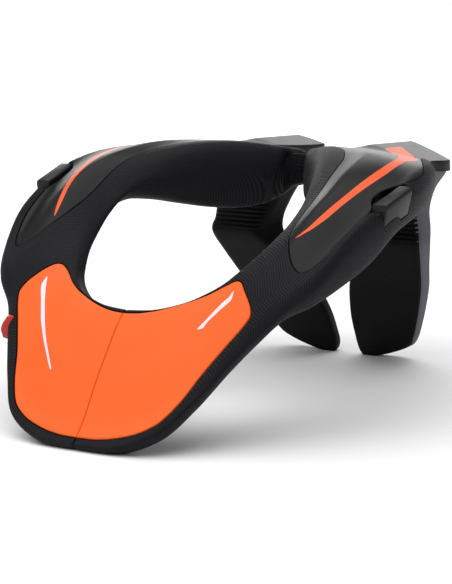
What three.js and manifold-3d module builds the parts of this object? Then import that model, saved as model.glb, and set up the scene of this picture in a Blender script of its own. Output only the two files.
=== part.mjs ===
// Youth neck brace for motocross: a padded collar in two halves, joined behind the neck, with
// orange chest panels, hard arm shells that run back into flat tails, and two back legs.
// Millimetres. +Z is up, the chest side is -Y, and the brace stands on its front rim and legs.
import * as THREE from 'three';
import { mergeVertices } from 'three/addons/utils/BufferGeometryUtils.js';
import Module from 'manifold-3d';

const wasm = await Module();
wasm.setup();

// Overall sizes that the section tables take their shares of.
const halfWidth = 128; // centre plane to the outside of an arm
const length = 290; // chest rim to the end of a tail
const height = 145; // floor to the crest of the neck pads
const frontY = -length / 2; // the front of the chest rim

// Walls and fits.
const panelThickness = 3;
const shellThickness = 3.2;
const tailThickness = 6.5;
const clearance = 0.3; // between pieces that touch
const panelGroove = 0.5; // round each chest panel and arm shell
const seamHalfGap = 0.25; // half the split between the two halves at the chest
const bridgeHalfWidth = 6;
const bridgeStep = 1.5; // how far the bridge lies in from the pads that it joins

// Strap clip, in a notch of the shell's outer edge.
const clipLength = 25;
const clipTop = 8.5; // its top band's width
const clipDrop = 16; // how far its face hangs down the arm's side
const clipRise = 7; // how much higher its back end is than its front end
const clipSlope = 1.5; // its slanted edges
const clipFoot = 5; // how far its face's foot lies in from the wall
const notchDepth = 4.5;

// Release tab, in a pocket of the side wall.
const tabHeight = 14;
const tabWidth = 6;
const tabProud = 4.5; // how far it stands out of the wall
const tabDepth = 4; // how far it reaches into the pocket
const tabTravel = 2.5; // how far it is pressed in
const tabDrop = 1; // how far its middle lies below the rim

// Places along the section table, counted in rows, and the top of the clip above the rim.
const clipPlace = 9.75;
const clipProfileTop = 9;
const tabPlace = 4.4;
const wallStep = 0.3;

// Fineness of the lofts.
const stationsPerRow = 2;
const pointsPerSpan = 2;
const outlineSteps = 2;

// The collar's sections, from the chest seam round the arm to the middle of the back. x is a
// share of halfWidth, y of length from the chest rim, z of height. v runs across a section
// from its inner wall (0) to its outer one (1).
const collarRows = [
  // inX, inY, outX, outY, crown, ridgeV, ridge, dip, shoulder, rim, outBotV, outBot, inBotV, inBot
  [0.0, 0.194, 0.0, -0.01, 0.484, 0.5, 0.302, 0.096, 0.045, 0.022, 0.84, -0.012, -0.17, 0.39],
  [0.14, 0.199, 0.21, -0.006, 0.494, 0.5, 0.31, 0.106, 0.056, 0.028, 0.84, -0.006, -0.17, 0.4],
  [0.27, 0.214, 0.405, 0.022, 0.524, 0.5, 0.368, 0.17, 0.125, 0.09, 0.82, 0.055, -0.14, 0.43],
  [0.345, 0.234, 0.525, 0.075, 0.556, 0.5, 0.436, 0.288, 0.24, 0.2, 0.81, 0.165, -0.08, 0.47],
  [0.395, 0.258, 0.625, 0.132, 0.59, 0.5, 0.53, 0.416, 0.376, 0.33, 0.81, 0.29, 0.0, 0.515],
  [0.43, 0.286, 0.712, 0.182, 0.632, 0.48, 0.612, 0.531, 0.49, 0.44, 0.82, 0.39, 0.06, 0.56],
  [0.467, 0.322, 0.812, 0.214, 0.685, 0.46, 0.675, 0.605, 0.58, 0.53, 0.84, 0.48, 0.1, 0.61],
  [0.495, 0.366, 0.892, 0.264, 0.742, 0.46, 0.758, 0.672, 0.655, 0.6, 0.85, 0.52, 0.1, 0.665],
  [0.51, 0.415, 0.948, 0.338, 0.802, 0.47, 0.845, 0.755, 0.77, 0.705, 0.87, 0.58, 0.1, 0.735],
  [0.505, 0.462, 0.98, 0.417, 0.86, 0.45, 0.908, 0.838, 0.845, 0.78, 0.88, 0.645, 0.08, 0.79],
  [0.472, 0.505, 0.995, 0.498, 0.912, 0.44, 0.952, 0.905, 0.905, 0.85, 0.9, 0.735, 0.06, 0.81],
  [0.41, 0.555, 0.988, 0.566, 0.95, 0.44, 0.975, 0.945, 0.938, 0.875, 0.9, 0.765, 0.05, 0.793],
  [0.34, 0.605, 0.945, 0.637, 0.975, 0.44, 0.988, 0.965, 0.955, 0.895, 0.9, 0.775, 0.05, 0.76],
  [0.262, 0.653, 0.865, 0.712, 0.986, 0.44, 0.992, 0.965, 0.955, 0.895, 0.9, 0.785, 0.05, 0.732],
  [0.182, 0.696, 0.755, 0.783, 0.983, 0.42, 0.988, 0.955, 0.942, 0.885, 0.9, 0.79, 0.04, 0.722],
  [0.11, 0.73, 0.6, 0.828, 0.972, 0.42, 0.975, 0.945, 0.93, 0.87, 0.9, 0.765, 0.03, 0.735],
  [0.055, 0.757, 0.35, 0.853, 0.957, 0.45, 0.958, 0.938, 0.925, 0.87, 0.9, 0.765, 0.03, 0.765],
  [0.0, 0.782, 0.0, 0.862, 0.947, 0.5, 0.945, 0.93, 0.92, 0.87, 0.9, 0.793, 0.03, 0.793],
];
const crownV = 0.1;
const dipV = 0.84;
const shoulderV = 0.95;

// The chest panel's outline, drawn on the plate from the foot of the seam outward and back up
// to the seam: x is a share of halfWidth, and its second number is how high the point lies.
// It runs past the centre plane, where the split cuts it.
const panelOutline = [
  [-0.12, 0.05], [0.0, 0.05], [0.1, 0.052], [0.2, 0.063], [0.31, 0.087], [0.4, 0.128], [0.465, 0.2],
  [0.52, 0.294], [0.585, 0.386], [0.632, 0.45], [0.65, 0.49], [0.628, 0.524],
  [0.57, 0.568], [0.525, 0.598], [0.49, 0.602], [0.445, 0.582], [0.385, 0.545],
  [0.32, 0.515], [0.25, 0.492], [0.19, 0.475], [0.13, 0.462], [0.07, 0.453], [0.0, 0.449],
  [-0.12, 0.449],
];

// The arm shell's outline in plan, from its front tip along the neck side to the back, and
// along the outside to the tip again: x is a share of halfWidth, y of length.
const shellOutline = [
  [0.785, 0.266], [0.735, 0.278], [0.69, 0.3], [0.655, 0.325], [0.635, 0.352], [0.62, 0.385],
  [0.614, 0.42], [0.612, 0.457], [0.605, 0.492], [0.588, 0.528], [0.566, 0.562],
  [0.538, 0.596], [0.5, 0.627], [0.458, 0.655], [0.408, 0.68], [0.352, 0.703],
  [0.3, 0.73], [0.255, 0.765], [0.215, 0.81], [0.19, 0.86], [0.52, 0.87], [0.62, 0.84],
  [0.69, 0.795], [0.74, 0.745], [0.81, 0.7], [0.868, 0.662], [0.912, 0.632], [0.945, 0.605],
  [0.962, 0.57], [0.955, 0.535], [0.915, 0.518], [0.885, 0.49], [0.885, 0.462],
  [0.915, 0.438], [0.915, 0.4],
  [0.9, 0.355], [0.875, 0.317], [0.845, 0.285], [0.817, 0.27],
];
const notchOutline = [[0.875, 0.437], [0.875, 0.525], [1.1, 0.525], [1.1, 0.437]];

// The flat tail in plan, and its top: a crease at creaseX that falls to both sides and back.
const tailOutline = [
  [0.165, 0.84], [0.158, 0.9], [0.158, 0.965], [0.18, 0.99], [0.335, 0.996], [0.5, 0.958],
  [0.665, 0.908], [0.685, 0.885], [0.67, 0.86], [0.6, 0.84], [0.4, 0.835],
];
const tailCrease = { x: 0.336, frontY: 0.78, frontZ: 0.985, fallIn: 0.22, fallOut: 0.19, fallBack: 0.085 };

// The back leg's sections, from the floor up: z and y are shares of height and length, x of
// halfWidth, and thick a share of legThickness. innerBack is the back edge of the inner side,
// and turn is how much further forward the outer side lies, as a share of length.
const legThickness = 14;
const legRows = [
  // z, inner, outer, front, thick, innerBack, turn
  [0.0, 0.085, 0.165, 0.945, 0.35, 0.09, 0.0],
  [0.02, 0.068, 0.25, 0.943, 0.5, 0.075, 0.0],
  [0.05, 0.06, 0.34, 0.939, 0.56, 0.068, 0.0],
  [0.09, 0.06, 0.4, 0.931, 0.62, 0.07, 0.0],
  [0.2, 0.07, 0.468, 0.907, 0.75, 0.082, 0.0],
  [0.345, 0.115, 0.54, 0.874, 0.9, 0.135, 0.0],
  [0.455, 0.2, 0.585, 0.843, 0.97, 0.18, 0.0],
  [0.555, 0.32, 0.618, 0.816, 1.0, 0.225, 0.0],
  [0.62, 0.295, 0.606, 0.823, 1.05, 0.245, 0.0],
  [0.7, 0.25, 0.595, 0.834, 1.1, 0.22, 0.01],
  [0.78, 0.2, 0.6, 0.845, 1.25, 0.19, 0.02],
  [0.85, 0.165, 0.64, 0.852, 1.9, 0.165, 0.035],
  [0.905, 0.16, 0.67, 0.856, 2.5, 0.16, 0.05],
];

const fabric = { color: 0x1f2024, roughness: 0.85, metalness: 0 };
const orange = { color: 0xff6a2c, roughness: 0.5, metalness: 0 };
const shellGrey = { color: 0x3b3c3f, roughness: 0.48, metalness: 0 };
const legBlack = { color: 0x17181b, roughness: 0.8, metalness: 0 };
const clipBlack = { color: 0x232427, roughness: 0.4, metalness: 0 };
const tabRed = { color: 0xb52e28, roughness: 0.45, metalness: 0 };

const atX = (share) => share * halfWidth;
const atY = (share) => frontY + share * length;
const atZ = (share) => share * height;

// A table's row at a place between its rows, on a smooth curve through each column.
function rowAt(rows, place) {
  const last = rows.length - 1;
  const i = Math.min(Math.floor(place), last - 1);
  const t = place - i;
  const pick = (k) => rows[Math.min(Math.max(k, 0), last)];
  const [a, b, c, d] = [pick(i - 1), pick(i), pick(i + 1), pick(i + 2)];
  return b.map((bj, j) => {
    const inward = (c[j] - a[j]) / 2;
    const outward = (d[j] - bj) / 2;
    const rise = c[j] - bj;
    return bj + t * (inward + t * (3 * rise - 2 * inward - outward + t * (inward + outward - 2 * rise)));
  });
}

// One closed section of the collar, grown outward all round by a margin.
function collarSection(row, margin) {
  const [inX, inY, outX, outY, crown, ridgeV, ridge, dip, shoulder, rim, outBotV, outBot, inBotV, inBot] = row;
  const inner = new THREE.Vector2(atX(inX), atY(inY));
  const outer = new THREE.Vector2(atX(outX), atY(outY));
  const span = inner.distanceTo(outer);
  const controls = [
    [0, (crown + inBot) / 2],
    [crownV, crown],
    [ridgeV, ridge],
    [dipV, dip],
    [shoulderV, shoulder],
    [1, rim],
    [outBotV, outBot],
    [(outBotV + inBotV) / 2, (outBot + inBot) / 2],
    [inBotV, inBot],
  ].map(([v, z]) => new THREE.Vector3(v * span, atZ(z), 0));
  const curve = new THREE.CatmullRomCurve3(controls, true, 'centripetal');
  const points = curve.getPoints(controls.length * pointsPerSpan).slice(0, -1);
  const middle = points.reduce((sum, p) => sum.add(p), new THREE.Vector3()).divideScalar(points.length);
  return points.map((p) => {
    const away = p.clone().sub(middle).setLength(margin);
    const v = (p.x + away.x) / span;
    const plan = inner.clone().lerp(outer, v);
    return new THREE.Vector3(plan.x, plan.y, p.y + away.y);
  });
}

// One closed section of a back leg: a bar with rounded corners, its padded face to the front.
function legSection(row, margin) {
  const [z, inner, outer, front, thick, innerBack, turn] = row;
  const depth = thick * legThickness;
  const y = atY(front);
  const outerY = y - turn * length;
  const round = depth / 3;
  const corners = [
    new THREE.Vector2(atX(inner) - margin, y - margin),
    new THREE.Vector2(atX(outer) + margin, outerY - margin),
    new THREE.Vector2(atX(outer) + margin, outerY + depth + margin),
    new THREE.Vector2(atX(innerBack) - margin, y + depth + margin),
  ];
  return corners.flatMap((corner, i) => {
    const before = corners[(i + 3) % 4].clone().sub(corner).setLength(round).add(corner);
    const after = corners[(i + 1) % 4].clone().sub(corner).setLength(round).add(corner);
    const arc = new THREE.QuadraticBezierCurve(before, corner, after);
    return arc.getPoints(pointsPerSpan + 1).map((p) => new THREE.Vector3(p.x, p.y, atZ(z)));
  });
}

// Joins closed sections of equal length into a closed body.
function loft(sections) {
  const count = sections[0].length;
  const positions = sections.flat().flatMap((p) => p.toArray());
  const faces = [];
  for (let i = 0; i + 1 < sections.length; i++) {
    for (let j = 0; j < count; j++) {
      const k = (j + 1) % count;
      const [a, b] = [i * count, (i + 1) * count];
      faces.push(a + j, a + k, b + k, a + j, b + k, b + j);
    }
  }
  const centre = (section) => section.reduce((s, p) => s.add(p), new THREE.Vector3()).divideScalar(count);
  [0, sections.length - 1].forEach((i) => {
    const hub = positions.length / 3;
    positions.push(...centre(sections[i]).toArray());
    for (let j = 0; j < count; j++) {
      const k = (j + 1) % count;
      const [p, q] = [i * count + j, i * count + k];
      faces.push(...(i === 0 ? [hub, q, p] : [hub, p, q]));
    }
  });
  const geometry = new THREE.BufferGeometry();
  geometry.setAttribute('position', new THREE.Float32BufferAttribute(positions, 3));
  geometry.setIndex(faces);
  return outward(geometry);
}

// Turns a closed geometry's faces out if they point in.
function outward(geometry) {
  const position = geometry.attributes.position;
  const index = geometry.index.array;
  const [a, b, c] = [new THREE.Vector3(), new THREE.Vector3(), new THREE.Vector3()];
  let volume = 0;
  for (let i = 0; i < index.length; i += 3) {
    a.fromBufferAttribute(position, index[i]);
    b.fromBufferAttribute(position, index[i + 1]);
    c.fromBufferAttribute(position, index[i + 2]);
    volume += a.dot(b.cross(c));
  }
  if (volume < 0) {
    for (let i = 0; i < index.length; i += 3) [index[i], index[i + 1]] = [index[i + 1], index[i]];
  }
  return geometry;
}

function bareOf(geometry) {
  const bare = geometry.clone();
  bare.deleteAttribute('normal');
  bare.deleteAttribute('uv');
  return bare;
}

function solid(geometry) {
  const merged = mergeVertices(bareOf(geometry), 1e-4);
  return new wasm.Manifold(new wasm.Mesh({
    numProp: 3,
    vertProperties: new Float32Array(merged.attributes.position.array),
    triVerts: new Uint32Array(merged.index.array),
  }));
}

// A cut body without the slivers that the cut left loose.
function largest(body) {
  return body.decompose().sort((a, b) => b.volume() - a.volume())[0];
}

function geometryOf(body) {
  const mesh = body.getMesh();
  const geometry = new THREE.BufferGeometry();
  geometry.setAttribute('position', new THREE.BufferAttribute(new Float32Array(mesh.vertProperties), 3));
  geometry.setIndex(new THREE.BufferAttribute(new Uint32Array(mesh.triVerts), 1));
  geometry.computeVertexNormals();
  return geometry;
}

function block(lowX, highX, lowY, highY, lowZ, highZ) {
  const geometry = new THREE.BoxGeometry(highX - lowX, highY - lowY, highZ - lowZ);
  geometry.translate((lowX + highX) / 2, (lowY + highY) / 2, (lowZ + highZ) / 2);
  return solid(geometry);
}

// A closed outline through the given points, moved outward by a margin, and its prism.
function smoothOutline(points, margin, steps, tension = 0.5) {
  const knots = points.map(([x, y]) => new THREE.Vector3(x, y, 0));
  const curve = new THREE.CatmullRomCurve3(knots, true, 'catmullrom', tension);
  const loop = curve.getPoints(points.length * steps).slice(0, -1);
  const flat = loop.map((p) => new THREE.Vector2(p.x, p.y));
  const side = Math.sign(THREE.ShapeUtils.area(flat));
  return flat.map((p, i) => {
    const along = flat[(i + 1) % flat.length].clone().sub(flat[(i + flat.length - 1) % flat.length]).normalize();
    return new THREE.Vector2(p.x + along.y * side * margin, p.y - along.x * side * margin);
  });
}

function prism(outline, depth) {
  return new THREE.ExtrudeGeometry(new THREE.Shape(outline), { depth, bevelEnabled: false });
}

const collarStations = (collarRows.length - 1) * stationsPerRow;

function collarBody(margin) {
  const places = Array.from({ length: collarStations + 1 }, (_, i) => i / stationsPerRow);
  return solid(loft(places.map((place) => collarSection(rowAt(collarRows, place), margin))));
}

// The layer of the collar's skin inside an outline, seen along a direction, and the room that
// the collar is cut by, larger by the clearances.
function skinLayer(body, prismAt, towards, thickness) {
  const sunk = (depth) => body.translate(towards.clone().multiplyScalar(-depth).toArray());
  return {
    piece: body.subtract(sunk(thickness)).intersect(prismAt(0)),
    room: prismAt(panelGroove).subtract(sunk(thickness + clearance)),
  };
}

// The chest plate's slope, from the table's first row.
const plateTop = new THREE.Vector2(atY(collarRows[0][1]), atZ(collarRows[0][4]));
const plateFoot = new THREE.Vector2(atY(0), atZ(collarRows[0][8]));
const plateSlope = plateTop.clone().sub(plateFoot).normalize();
const plateNormal = new THREE.Vector3(0, -plateSlope.y, plateSlope.x);

function panelPrism(margin) {
  const plateY = (z) => plateFoot.x + (z - plateFoot.y) * plateSlope.x / plateSlope.y;
  const points = panelOutline.map(([x, z]) => [atX(x), atZ(z) / plateSlope.y]);
  const geometry = prism(smoothOutline(points, margin, outlineSteps, 0.4), 2 * length);
  geometry.translate(0, 0, -length);
  const turn = new THREE.Matrix4().makeBasis(
    new THREE.Vector3(1, 0, 0),
    new THREE.Vector3(0, plateSlope.x, plateSlope.y),
    plateNormal,
  );
  geometry.applyMatrix4(turn);
  geometry.translate(0, plateY(0), 0);
  return solid(geometry).intersect(block(seamHalfGap, halfWidth, -length, length, -height, height));
}

function notchPrism(margin) {
  const points = notchOutline.map(([x, y]) => new THREE.Vector2(atX(x), atY(y)));
  return solid(prism(points, 2 * height)).translate([0, 0, margin]);
}

function shellPrism(margin) {
  const points = shellOutline.map(([x, y]) => [atX(x), atY(y)]);
  return solid(prism(smoothOutline(points, margin, outlineSteps), 2 * height));
}

// The flat tail at the back of an arm shell.
function tailPlate(margin) {
  const points = tailOutline.map(([x, y]) => [atX(x), atY(y)]);
  const geometry = prism(smoothOutline(points, margin, outlineSteps, 0.25), tailThickness + 2 * margin);
  const position = geometry.attributes.position;
  const { x, frontY: startY, frontZ, fallIn, fallOut, fallBack } = tailCrease;
  for (let i = 0; i < position.count; i++) {
    const off = position.getX(i) - atX(x);
    const fall = off * (off < 0 ? -fallIn : fallOut) + fallBack * (position.getY(i) - atY(startY));
    position.setZ(i, position.getZ(i) + atZ(frontZ) - fall - tailThickness - margin);
  }
  return solid(geometry);
}

function legBody(margin) {
  const places = Array.from({ length: (legRows.length - 1) * stationsPerRow + 1 }, (_, i) => i / stationsPerRow);
  return solid(loft(places.map((place) => legSection(rowAt(legRows, place), margin))));
}

// The middle of the outer wall at a place along the table, and the wall's outward direction.
function outerWall(place) {
  const at = (k) => new THREE.Vector3(atX(rowAt(collarRows, k)[2]), atY(rowAt(collarRows, k)[3]), 0);
  const along = at(place + wallStep).sub(at(place - wallStep)).normalize();
  const point = at(place).setZ(atZ(rowAt(collarRows, place)[9]));
  return { point, along, out: new THREE.Vector3(along.y, -along.x, 0) };
}

// A prism of a profile drawn outward and upward on the outer wall, centred along it.
function wallPiece(place, profile, width, lift) {
  const { point, along, out } = outerWall(place);
  const geometry = prism(profile.map(([u, w]) => new THREE.Vector2(u, w)), width);
  geometry.translate(0, 0, -width / 2);
  const climb = along.clone().setZ(lift / width);
  const turn = new THREE.Matrix4().makeBasis(out, new THREE.Vector3(0, 0, 1), climb);
  geometry.applyMatrix4(turn);
  geometry.translate(point.x, point.y, point.z);
  return solid(outward(mergeVertices(bareOf(geometry), 1e-4)));
}

function clipBody(margin) {
  const rise = clipProfileTop + margin;
  const profile = [
    [-clipTop - margin, rise - clipSlope], [clipSlope - clipTop, rise], [0, rise],
    [clipSlope + margin, rise - clipSlope], [clipSlope + margin, rise - clipTop / 2],
    [margin - clipSlope, rise - clipDrop - 2 * margin], [-clipFoot - margin, rise - clipDrop - 2 * margin],
    [-clipTop - margin, rise - clipTop],
  ];
  return wallPiece(clipPlace, profile, clipLength + 2 * margin, clipRise);
}

function tabBody(margin, deeper) {
  const half = tabHeight / 2 + margin;
  const profile = [
    [-tabDepth - deeper, -half], [0, -half], [tabProud * 0.75, -half * 0.8],
    [tabProud, -half * 0.1], [tabProud * 0.75, half * 0.35], [0, half], [-tabDepth - deeper, half],
  ].map(([u, w]) => [u, w - tabDrop]);
  return wallPiece(tabPlace, profile, tabWidth + 2 * margin, 0);
}

const behind = block(-2 * halfWidth, 2 * halfWidth, 0, length, -height, 2 * height);
const beyond = (x) => block(x, 2 * halfWidth, -length, length, -height, 2 * height);
const aboveFloor = block(-2 * halfWidth, 2 * halfWidth, -length, length, 0, 2 * height);
const fullBody = collarBody(0).intersect(aboveFloor);
const panel = skinLayer(fullBody, panelPrism, plateNormal, panelThickness);
const up = new THREE.Vector3(0, 0, 1);
const shell = skinLayer(fullBody, shellPrism, up, shellThickness);
const notch = skinLayer(fullBody, notchPrism, up, notchDepth);
const collarHalf = fullBody
  .intersect(beyond(seamHalfGap))
  .subtract(behind.subtract(beyond(bridgeHalfWidth + clearance)))
  .subtract(panel.room)
  .subtract(shell.room)
  .subtract(notch.room)
  .subtract(tailPlate(clearance))
  .subtract(clipBody(clearance));
const armShell = shell.piece.intersect(beyond(seamHalfGap)).add(tailPlate(0));
const leg = largest(legBody(0).subtract(collarBody(clearance)).subtract(tailPlate(clearance)));
const bridgeHalf = collarBody(-bridgeStep).intersect(block(-1, bridgeHalfWidth, 0, length, 0, 2 * height));
const mirrored = (body) => body.mirror([1, 0, 0]);

const group = new THREE.Group();

function addPiece(name, body, look) {
  const mesh = new THREE.Mesh(geometryOf(body), new THREE.MeshStandardMaterial(look));
  mesh.name = name;
  group.add(mesh);
}

for (const [side, place] of [['right', (body) => body], ['left', mirrored]]) {
  const pocket = side === 'left' ? tabBody(clearance, tabTravel + clearance) : null;
  const collar = largest(pocket ? place(collarHalf).subtract(place(pocket)) : place(collarHalf));
  addPiece(`collar_${side}`, collar, fabric);
  addPiece(`front_panel_${side}`, place(largest(panel.piece)), orange);
  addPiece(`arm_shell_${side}`, place(armShell), shellGrey);
  addPiece(`back_leg_${side}`, place(leg), legBlack);
  addPiece(`strap_clip_${side}`, place(clipBody(0)), clipBlack);
}
addPiece('rear_bridge', bridgeHalf.add(mirrored(bridgeHalf)), fabric);
addPiece('release_tab', mirrored(tabBody(0, 0)), tabRed);

// The brace stands centred over the origin.
const { min, max } = new THREE.Box3().setFromObject(group);
group.children.forEach((mesh) => mesh.geometry.translate(-(min.x + max.x) / 2, -(min.y + max.y) / 2, -min.z));

export default group;
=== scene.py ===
import math

import bmesh
import bpy
import numpy as np
from mathutils import Matrix, Vector
from mathutils.bvhtree import BVHTree
from mathutils.geometry import delaunay_2d_cdt


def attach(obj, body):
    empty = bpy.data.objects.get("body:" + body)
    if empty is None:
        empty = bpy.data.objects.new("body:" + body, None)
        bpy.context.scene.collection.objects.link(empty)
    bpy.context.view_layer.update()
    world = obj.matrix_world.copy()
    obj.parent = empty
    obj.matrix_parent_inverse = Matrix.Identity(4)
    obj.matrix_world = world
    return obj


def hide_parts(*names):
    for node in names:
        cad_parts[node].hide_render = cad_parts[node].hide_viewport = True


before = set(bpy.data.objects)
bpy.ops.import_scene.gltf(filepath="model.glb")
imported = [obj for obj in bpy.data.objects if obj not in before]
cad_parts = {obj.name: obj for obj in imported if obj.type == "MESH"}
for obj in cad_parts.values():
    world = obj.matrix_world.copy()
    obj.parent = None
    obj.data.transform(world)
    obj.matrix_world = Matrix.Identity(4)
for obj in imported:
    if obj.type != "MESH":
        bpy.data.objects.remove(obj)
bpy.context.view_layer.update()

mm = 0.001

# Camera at the photograph's angle. The turn and tilt are degrees, the distance metres.
cameraView = {
    "turn": 37.0,
    "rise": 13.556,
    "roll": -2.372,
    "distance": 1.495582,
    "focalPixels": 2500.0,
    "centre": (-11.288, 108.351),
    "aimHeightBack": 12.95,
    "pixelsTall": 584,
    "sensor": 24.0,
    "farthest": 50.0,
}


# A new object in the scene for a mesh, a lamp or a camera.
def placed(name, data):
    thing = bpy.data.objects.new(name, data)
    bpy.context.collection.objects.link(thing)
    return thing


def placeCamera(view):
    turn, rise, roll = (math.radians(view[k]) for k in ("turn", "rise", "roll"))
    level = math.cos(rise)
    back = Vector((math.sin(turn) * level, -math.cos(turn) * level, math.sin(rise)))
    flatRight = Vector((math.cos(turn), math.sin(turn), 0))
    flatUp = back.cross(flatRight)
    right = flatRight * math.cos(roll) + flatUp * math.sin(roll)
    up = flatUp * math.cos(roll) - flatRight * math.sin(roll)
    # The photograph was cropped off centre, so the camera aims along the ray through its middle.
    aim = right * -view["centre"][0] + up * view["centre"][1] - back * view["focalPixels"]
    forward = aim.normalized()
    side = forward.cross(up).normalized()
    camera = placed("camera", bpy.data.cameras.new("camera"))
    turned = Matrix((side, side.cross(forward), -forward)).transposed()
    spot = back * view["distance"] - Vector((0, view["aimHeightBack"] * mm, 0))
    camera.matrix_world = Matrix.Translation(spot) @ turned.to_4x4()
    camera.data.sensor_fit = "VERTICAL"
    camera.data.sensor_height = view["sensor"]
    camera.data.lens = view["sensor"] * aim.length / view["pixelsTall"]
    camera.data.clip_end = view["farthest"]
    bpy.context.scene.camera = camera


placeCamera(cameraView)
print("camera placed")


# Shader maths: a wire wraps a socket, and an expression on wires adds its Math nodes.
class Wire:
    def __init__(self, finish, socket):
        self.finish = finish
        self.socket = socket

    def maths(self, operation, first, second=None, third=None):
        values = {i: v for i, v in enumerate((first, second, third)) if v is not None}
        return self.finish.add("ShaderNodeMath", {"operation": operation}, values)[0]

    def __add__(self, other):
        return self.maths("ADD", self, other)

    __radd__ = __add__

    def __sub__(self, other):
        return self.maths("SUBTRACT", self, other)

    def __rsub__(self, other):
        return self.maths("SUBTRACT", other, self)

    def __mul__(self, other):
        return self.maths("MULTIPLY", self, other)

    __rmul__ = __mul__

    def wave(self):
        return self.maths("SINE", self)

    def between(self, low, high):
        settings = {"interpolation_type": "SMOOTHSTEP"}
        sockets = {"Value": self, "From Min": low, "From Max": high}
        return self.finish.add("ShaderNodeMapRange", settings, sockets)[0]


# A finish is one material. add() makes any node: its settings first, then its sockets.
class Finish:
    def __init__(self, name):
        self.material = bpy.data.materials.new(name)
        self.material.use_nodes = True
        self.tree = self.material.node_tree
        self.tree.nodes.clear()
        self.shader = self.tree.nodes.new("ShaderNodeBsdfPrincipled")
        output = self.tree.nodes.new("ShaderNodeOutputMaterial")
        self.tree.links.new(self.shader.outputs[0], output.inputs[0])

    def add(self, kind, settings=None, sockets=None):
        node = self.tree.nodes.new(kind)
        for key, value in (settings or {}).items():
            setattr(node, key, value)
        for key, value in (sockets or {}).items():
            self.feed(node.inputs[key], value)
        return [Wire(self, s) for s in node.outputs]

    def feed(self, socket, value):
        if isinstance(value, Wire):
            self.tree.links.new(value.socket, socket)
        elif isinstance(value, tuple) and len(value) == 3 and socket.type == "RGBA":
            socket.default_value = (*value, 1)
        else:
            socket.default_value = value

    def set(self, **values):
        for key, value in values.items():
            self.feed(self.shader.inputs[key.replace("_", " ")], value)

    def places(self):
        return self.add("ShaderNodeTexCoord")[3]

    def parts(self, vector):
        return self.add("ShaderNodeSeparateXYZ", None, {0: vector})

    def noise(self, vector, scale, detail=3.0, roughness=0.5):
        sockets = {"Vector": vector, "Scale": scale, "Detail": detail, "Roughness": roughness}
        return self.add("ShaderNodeTexNoise", None, sockets)[0]

    def blend(self, amount, low, high):
        settings = {"data_type": "RGBA", "blend_type": "MIX"}
        return self.add("ShaderNodeMix", settings, {0: amount, 6: low, 7: high})[2]

    def bump(self, height, distance, strength=1.0):
        sockets = {"Height": height, "Distance": distance, "Strength": strength}
        return self.add("ShaderNodeBump", None, sockets)[0]


# A screen colour, 0 to 255, as the linear one that the nodes take.
def shade(red, green, blue):
    shares = [c / 255 for c in (red, green, blue)]
    return tuple(((c + 0.055) / 1.055) ** 2.4 if c > 0.04 else c / 12.92 for c in shares)


ribbedLook = {
    "dark": shade(5, 5, 7),
    # light: the rib crests' colour; the ribs are real, and this lighter crest colour is partly a
    # painted highlight.
    "light": shade(33, 33, 39),
    "pitch": 1.8,  # mm between ribs
    "slant": 0.35,
    "depth": 0.24,  # mm
}


def turnsPerMetre(look):
    return 2 * math.pi / (look["pitch"] * mm)


def ribbedFabric():
    finish = Finish("ribbedFabric")
    look = ribbedLook
    along, across, _ = finish.parts(finish.add("ShaderNodeUVMap", {"uv_map": "cloth"})[0])
    drift = finish.noise(finish.places(), 60.0, 2.0) - 0.5
    turns = turnsPerMetre(look)
    rib = ((along + across * look["slant"]) * turns + drift * 2.2).wave() * 0.5 + 0.5
    ribs = rib.between(0.12, 0.85)
    thread = ((along * 1.6 - across) * turns * 1.1).wave() * 0.5 + 0.5
    weave = ribs * (thread * 0.45 + 0.55)
    grain = finish.noise(finish.places(), 1400.0, 2.0)
    broad = finish.noise(finish.places(), 22.0, 3.0)
    height = weave + grain * 0.18
    # Rib crests are coloured lighter: the ribs are real, and the lighter crest colour is partly a
    # painted highlight. Broad random darkening then goes over it.
    colour = finish.blend(weave * 0.75 + grain * 0.25, look["dark"], look["light"])
    wornAndCrestHighlight = finish.blend(broad.between(0.35, 0.75) * 0.35, colour, look["dark"])
    finish.set(Base_Color=wornAndCrestHighlight, Roughness=0.62 - weave * 0.12 + grain * 0.1)
    finish.set(Normal=finish.bump(height, look["depth"] * mm, 0.9))
    finish.set(Specular_IOR_Level=0.16, Sheen_Weight=0.04, Sheen_Roughness=0.3)
    return finish.material


legLook = {
    "dark": shade(5, 5, 6),
    "light": shade(14, 14, 16),
    "pitch": 1.5,  # mm
    "depth": 0.06,  # mm
}


def legFabric():
    finish = Finish("legFabric")
    look = legLook
    places = finish.places()
    _, across, up = finish.parts(places)
    drift = finish.noise(places, 30.0, 2.0)
    line = ((up + across * 0.15) * turnsPerMetre(look) + drift * 2.0).wave() * 0.5 + 0.5
    grain = finish.noise(places, 1600.0, 2.0)
    broad = finish.noise(places, 16.0, 3.0)
    mixed = line * 0.4 + grain * 0.3 + broad * 0.3
    finish.set(Base_Color=finish.blend(mixed, look["dark"], look["light"]))
    finish.set(Roughness=0.5 + broad * 0.16, Specular_IOR_Level=0.12)
    finish.set(Normal=finish.bump(line + grain * 0.5, look["depth"] * mm, 0.8))
    return finish.material


# The legs' side strip: its own smoother fabric, with its grey made lighter as painted light for the
# outward faces that the light falls on.
sideStripLitLook = {"dark": shade(80, 79, 84), "light": shade(102, 100, 106), "depth": 0.05}


def sideStripLitFabric():
    finish = Finish("sideStripLitFabric")
    look = sideStripLitLook
    places = finish.places()
    grain = finish.noise(places, 1500.0, 3.0)
    broad = finish.noise(places, 26.0, 3.0)
    finish.set(Base_Color=finish.blend(grain * 0.5 + broad * 0.5, look["dark"], look["light"]))
    finish.set(Roughness=0.55 + broad * 0.12, Normal=finish.bump(grain, look["depth"] * mm, 0.7))
    finish.set(Specular_IOR_Level=0.2)
    return finish.material


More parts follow.
